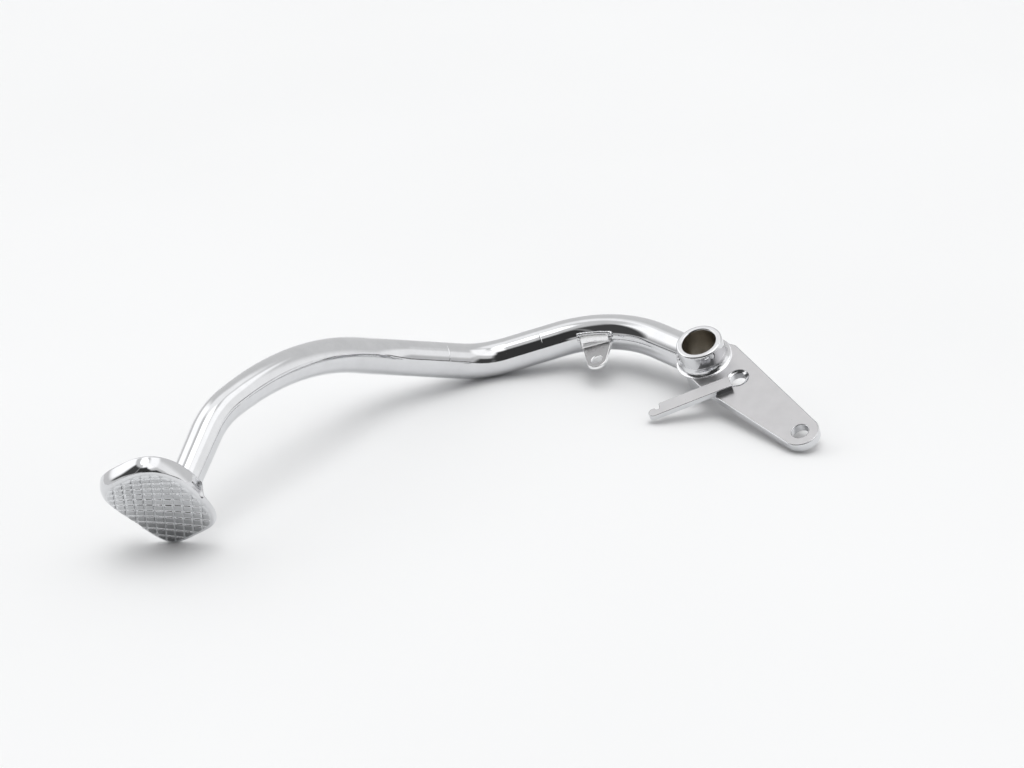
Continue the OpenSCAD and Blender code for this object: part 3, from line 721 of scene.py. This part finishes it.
def build_pad(rim, tread):
    """The pressed pad, ring by ring: inner face, inner wall, lip, outer skin, tread."""
    n = PAD_SIDES
    angles = even_angles(n)
    rings, marks = [], []

    def skin(thin, roll, mark):
        pts = []
        for a in angles:
            r = edge_r(a) - thin
            x, z = outline_point(a, thin + r * (1 - math.cos(roll) ** 0.9))
            deep = max(r, flange_depth(z, a) - thin - 0.9)
            pts.append((x, rise(z) - thin - deep * (1 - math.sin(roll)), z))
        rings.append(pts)
        marks.append(mark)

    def lip(turn):
        pts = []
        half = PAD_T / 2
        for a in angles:
            x, z = outline_point(a, half + half * math.cos(turn))
            pts.append((x, rise(z) - flange_depth(z, a) + half * (1 - math.sin(turn)) * 0.3, z))
        rings.append(pts)
        marks.append(0)
    for s in (0.02, 0.35, 0.7, 0.9):
        pts = []
        for a in angles:
            x, z = outline_point(a, edge_r(a))
            pts.append((x * s, rise(z * s) - PAD_T, z * s))
        rings.append(pts)
        marks.append(0)
    for k in range(INNER_RINGS + 1):
        skin(PAD_T, math.pi / 2 * (1 - k / INNER_RINGS), 0)
    for k in range(LIP_RINGS + 1):
        lip(math.pi * k / LIP_RINGS)
    for k in range(ROLL_RINGS + 1):
        skin(0, math.pi / 2 * k / ROLL_RINGS, 0)
    for k in range(1, TREAD_RINGS + 1):
        s = 1 - k / (TREAD_RINGS + 0.6)
        pts = []
        for a in angles:
            x, z = outline_point(a, edge_r(a))
            x, z = x * s, z * s
            pts.append((x, rise(z) + stud_height(x, z), z))
        rings.append(pts)
        marks.append(1)
    verts = [Vector(PAD_AT) + x * pad_x + y * pad_y + z * pad_z for r in rings for x, y, z in r]
    faces, fm = [], []
    for k in range(len(rings) - 1):
        faces += band(k * n, (k + 1) * n, n)
        fm += [marks[k + 1]] * n
    faces.append(tuple((len(rings) - 1) * n + j for j in range(n)))
    faces.append(tuple(range(n))[::-1])
    fm += [1, 0]
    pad = mesh_piece("pad_shell", verts, faces, rim, "foot_pad", mats=[rim, tread], face_mats=fm)
    # The tone attribute is painted shade: darker toward the tread's lowest corner, and darker on
    # its studs than in its grooves
    tone = pad.data.attributes.new("tone", "FLOAT", "POINT")
    k = 0
    for r in rings:
        for x, y, z in r:
            low_end = smooth_step((PAINTED_SHADE_X * x - z + PAINTED_SHADE_FROM) / PAINTED_SHADE_OVER)
            stud = stud_height(x, z) / TREAD_H * (PAINTED_SHADE_STUD + PAINTED_SHADE_LAST * low_end)
            tone.data[k].value = (1 - PAINTED_SHADE_FLOOR * low_end) * (1 - stud)
            k += 1
    return pad


# Materials
COLOUR_SCALE, ROUGH_SCALE, WAVE_SCALE, GRAIN_DEEP, WAVE_DEEP = 90, 260, 55, 0.0002, 0.0006


def nodes_of(name):
    """A new material with only a shader and its output."""
    m = bpy.data.materials.new(name)
    m.use_nodes = True
    nt = m.node_tree
    nt.nodes.clear()
    out = nt.nodes.new("ShaderNodeOutputMaterial")
    bsdf = nt.nodes.new("ShaderNodeBsdfPrincipled")
    nt.links.new(bsdf.outputs["BSDF"], out.inputs["Surface"])
    return m, nt, bsdf


def add_noise(nt, scale, detail, rough, coords):
    n = nt.nodes.new("ShaderNodeTexNoise")
    n.inputs["Scale"].default_value = scale
    n.inputs["Detail"].default_value = detail
    n.inputs["Roughness"].default_value = rough
    nt.links.new(coords, n.inputs["Vector"])
    return n


def ramp(nt, src, stops):
    """A colour ramp of (place, grey or colour) stops."""
    r = nt.nodes.new("ShaderNodeValToRGB")
    el = r.color_ramp.elements
    while len(el) < len(stops):
        el.new(0.5)
    for e, (p, c) in zip(el, stops):
        e.position = p
        e.color = (c, c, c, 1) if not isinstance(c, tuple) else (*c, 1)
    nt.links.new(src, r.inputs["Fac"])
    return r


def add_bump(nt, height, strength, distance):
    n = nt.nodes.new("ShaderNodeBump")
    n.inputs["Strength"].default_value = strength
    n.inputs["Distance"].default_value = distance
    nt.links.new(height, n.inputs["Height"])
    return n


def metal(name, colour, rough, grain_scale, grain_bump, var=0.04, wave=0.0):
    """Plated metal: its colour varies by var, its gloss varies, and it has a fine grain and,
    with wave, a slow unevenness."""
    m, nt, b = nodes_of(name)
    b.inputs["Metallic"].default_value = 1.0
    co = nt.nodes.new("ShaderNodeTexCoord")
    n1 = add_noise(nt, COLOUR_SCALE, 4, 0.6, co.outputs["Object"])
    darker = tuple(x * (1 - var) for x in colour)
    lighter = tuple(min(1, x * (1 + var)) for x in colour)
    c = ramp(nt, n1.outputs["Fac"], [(0.3, darker), (0.7, lighter)])
    nt.links.new(c.outputs["Color"], b.inputs["Base Color"])
    n2 = add_noise(nt, ROUGH_SCALE, 5, 0.65, co.outputs["Object"])
    r = ramp(nt, n2.outputs["Fac"], [(0.25, rough * 0.75), (0.75, rough * 1.25)])
    nt.links.new(r.outputs["Color"], b.inputs["Roughness"])
    n3 = add_noise(nt, grain_scale, 3, 0.6, co.outputs["Object"])
    last = add_bump(nt, n3.outputs["Fac"], grain_bump, GRAIN_DEEP)
    if wave:
        n4 = add_noise(nt, WAVE_SCALE, 2, 0.5, co.outputs["Object"])
        slow = add_bump(nt, n4.outputs["Fac"], wave, WAVE_DEEP)
        nt.links.new(last.outputs["Normal"], slow.inputs["Normal"])
        last = slow
    nt.links.new(last.outputs["Normal"], b.inputs["Normal"])
    return m


def paint_shade_by(mat, name):
    """Paint shade: multiply the material's colour by a point attribute of the mesh."""
    nt = mat.node_tree
    b = next(n for n in nt.nodes if n.type == "BSDF_PRINCIPLED")
    at = nt.nodes.new("ShaderNodeAttribute")
    at.attribute_name = name
    mix = nt.nodes.new("ShaderNodeMix")
    mix.data_type = "RGBA"
    mix.blend_type = "MULTIPLY"
    mix.inputs["Factor"].default_value = 1.0
    old = b.inputs["Base Color"].links[0].from_socket
    nt.links.new(old, mix.inputs[6])
    nt.links.new(at.outputs["Fac"], mix.inputs[7])
    nt.links.new(mix.outputs[2], b.inputs["Base Color"])


# The second colour is plating painted lighter than it is, for the light on the tab's saddle, side
# faces and inner bend
PLATING, PAINTED_LIGHT_PLATING = (0.715, 0.72, 0.735), (0.95, 0.95, 0.955)
chrome = metal("polished plating", PLATING, 0.045, 1400, 0.03, wave=0.03)
rim_chrome = metal("pressed rim plating", PLATING, 0.05, 1400, 0.03, wave=0.03)
tread_chrome_painted_shade = metal("tread plating with painted shade", (0.74, 0.75, 0.765), 0.12, 1800, 0.04)
# The tread's colour is multiplied by the painted shade in the tone attribute
paint_shade_by(tread_chrome_painted_shade, "tone")
satin = metal("satin plating", (0.575, 0.57, 0.58), 0.34, 2600, 0.10)
# The tab is one plated sheet: its leaf is painted darker, for the shade and reflections on it, and
# its saddle, side faces and inner bend lighter, for the light on them
tab_satin_painted_shade = metal("tab plating painted darker", (0.46, 0.46, 0.465), 0.24, 1500, 0.10)
tab_edge_painted_light = metal("tab edge plating painted lighter", PAINTED_LIGHT_PLATING, 0.22, 1500, 0.10)
tab_inner_painted_light = metal("tab inner bend plating painted lighter", PAINTED_LIGHT_PLATING, 0.55, 1500, 0.10)
bore_mat = metal("bare bore", (0.40, 0.365, 0.31), 0.38, 900, 0.2, var=0.25)
weld_mat = metal("plated bead", (0.76, 0.765, 0.78), 0.10, 700, 0.25, wave=0.15)

build_tube(chrome)
build_sleeve(chrome, bore_mat)
build_arm(satin, rim_chrome)
build_hook(satin, rim_chrome)
build_tab(tab_satin_painted_shade, tab_edge_painted_light)
build_tab_bend(tab_inner_painted_light)
build_pad(rim_chrome, tread_chrome_painted_shade)
build_sleeve_weld(weld_mat)
build_tube_weld(weld_mat)
build_hook_weld(weld_mat)
build_tab_weld(weld_mat)
build_pad_weld(weld_mat)

# Floor
FLOOR_HALF, FLOOR_DARK, FLOOR_LIGHT = 6.0, (0.88, 0.885, 0.89), (0.90, 0.905, 0.91)
low = min(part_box(n)[0][2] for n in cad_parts)
floor_mat, nt, b = nodes_of("pale floor")
b.inputs["Roughness"].default_value = 0.6
b.inputs["Specular IOR Level"].default_value = 0.15
coords = nt.nodes.new("ShaderNodeTexCoord")
fn = add_noise(nt, 3.0, 2, 0.5, coords.outputs["Object"])
fr = ramp(nt, fn.outputs["Fac"], [(0.3, FLOOR_DARK), (0.7, FLOOR_LIGHT)])
nt.links.new(fr.outputs["Color"], b.inputs["Base Color"])
me = bpy.data.meshes.new("floor")
square = [(x * FLOOR_HALF, y * FLOOR_HALF, low) for x, y in ((-1, -1), (1, -1), (1, 1), (-1, 1))]
me.from_pydata(square, [], [(0, 1, 2, 3)])
floor = bpy.data.objects.new("floor", me)
bpy.context.scene.collection.objects.link(floor)
me.materials.append(floor_mat)

# Studio: the world's tones by direction, in degrees. Azimuth counts from the viewer's side,
# positive to the right. Each window fades in from a0 to a1 and out from b0 to b1.
BASE, SUN, SUN_ANGLE = 0.72, 0.70, 50
RIGHT_WALL, RIGHT_AZ = 1.06, (66, 80, 98, 116)
BACK_WALL, BACK_AZ, BACK_EL = 1.15, (128, 150), (44, 58)
TOP_LIGHT, TOP_EL = 2.2, (73, 80)
WINDOWS = (
    (0.50, (-62, -50, -4, 4), (-9, -5, 8, 14)),
    (0.60, (40, 60, 68, 80), (-9, -5, 16, 34)),
    (0.07, (-90, -78, -34, -22), (10, 18, 58, 68)),
    (0.045, (-32, -22, 24, 38), (10, 16, 54, 66)),
    (0.045, (-6, 4, 24, 38), (-9, -5, 40, 50)),
    (0.06, (24, 34, 52, 62), (-9, -5, 22, 32)),
    (0.13, (24, 38, 84, 100), (-9, -5, 2.5, 5)),
    (1.40, (-14, 0, 64, 80), (58, 66, 88, 90)),
    (1.40, (22, 40, 64, 80), (38, 50, 88, 90)),
    (1.35, (60, 75, 120, 138), (38, 48, 64, 72)),
    (1.40, (-152, -142, -94, -84), (14, 24, 56, 64)),
)
world = bpy.data.worlds.new("studio")
bpy.context.scene.world = world
world.use_nodes = True
wt = world.node_tree
wt.nodes.clear()
world_out = wt.nodes.new("ShaderNodeOutputWorld")
toward = wt.nodes.new("ShaderNodeTexCoord")
sep = wt.nodes.new("ShaderNodeSeparateXYZ")
wt.links.new(toward.outputs["Generated"], sep.inputs[0])


def wmath(op, *args):
    """A math node of the world, fed with numbers or sockets."""
    n = wt.nodes.new("ShaderNodeMath")
    n.operation = op
    for i, v in enumerate(args):
        if isinstance(v, (int, float)):
            n.inputs[i].default_value = v
        else:
            wt.links.new(v, n.inputs[i])
    return n.outputs[0]


def wstep(src, a, b, lo=0.0, hi=1.0):
    """A smooth step from lo at a to hi at b."""
    n = wt.nodes.new("ShaderNodeMapRange")
    n.interpolation_type = "SMOOTHSTEP"
    for k, v in zip((1, 2, 3, 4), (a, b, lo, hi)):
        n.inputs[k].default_value = v
    wt.links.new(src, n.inputs[0])
    return n.outputs[0]


def window(src, a0, a1, b0, b1):
    """1 between a1 and b0, fading to 0 at a0 and b1."""
    return wmath("MULTIPLY", wstep(src, a0, a1), wstep(src, b0, b1, 1.0, 0.0))


def blend(base, value, mask):
    """base where mask is 0, value where it is 1."""
    diff = wmath("SUBTRACT", value, base)
    return wmath("MULTIPLY_ADD", diff, mask, base)


DEGREES = 57.29578
behind = wmath("MULTIPLY", sep.outputs["Y"], -1.0)
az = wmath("MULTIPLY", wmath("ARCTAN2", sep.outputs["X"], behind), DEGREES)
el = wmath("MULTIPLY", wmath("ARCSINE", sep.outputs["Z"]), DEGREES)
tone = blend(BASE, RIGHT_WALL, window(az, *RIGHT_AZ))
back = wmath("MULTIPLY", wstep(wmath("ABSOLUTE", az), *BACK_AZ), wstep(el, *BACK_EL))
tone = blend(tone, BACK_WALL, back)
for value, a, e in WINDOWS:
    tone = blend(tone, value, wmath("MULTIPLY", window(az, *a), window(el, *e)))
tone = blend(tone, TOP_LIGHT, wstep(el, *TOP_EL))
env = wt.nodes.new("ShaderNodeBackground")
wt.links.new(tone, env.inputs["Color"])
env.inputs["Strength"].default_value = 1.0
# The camera itself sees a plain pale backdrop
backdrop = wt.nodes.new("ShaderNodeBackground")
backdrop.inputs["Color"].default_value = (*FLOOR_LIGHT, 1)
backdrop.inputs["Strength"].default_value = 1.0
rays = wt.nodes.new("ShaderNodeLightPath")
either = wt.nodes.new("ShaderNodeMixShader")
wt.links.new(rays.outputs["Is Camera Ray"], either.inputs[0])
wt.links.new(env.outputs[0], either.inputs[1])
wt.links.new(backdrop.outputs[0], either.inputs[2])
wt.links.new(either.outputs[0], world_out.inputs["Surface"])

# A soft lamp from straight above, which the plating doesn't show
lamp = bpy.data.lights.new("ceiling", "SUN")
lamp.energy = SUN
lamp.angle = math.radians(SUN_ANGLE)
overhead = bpy.data.objects.new("ceiling", lamp)
overhead.visible_glossy = False
bpy.context.scene.collection.objects.link(overhead)

# The camera, measured in the frame of the vehicle and turned with the pedal: where it stands,
# and its right, up and backward directions
SENSOR, LENS, CAM_AT = 36.0, 85.0, (360.13, 820.352, 828.361)
CAM_AXES = ((-0.791888, 0.531928, -0.299943), (-0.566761, -0.457313, 0.685307),
            (0.227366, 0.712683, 0.663617))
cam = bpy.data.cameras.new("camera")
cam.sensor_width = SENSOR
cam.lens = LENS
cam.clip_end = 50
camera = bpy.data.objects.new("camera", cam)
bpy.context.scene.collection.objects.link(camera)
turned = Matrix([TO_ROW @ Vector(a) for a in CAM_AXES]).transposed()
camera.matrix_world = Matrix.Translation(to_row(CAM_AT)) @ turned.to_4x4()
bpy.context.scene.camera = camera
bpy.context.scene.view_settings.view_transform = "Standard"
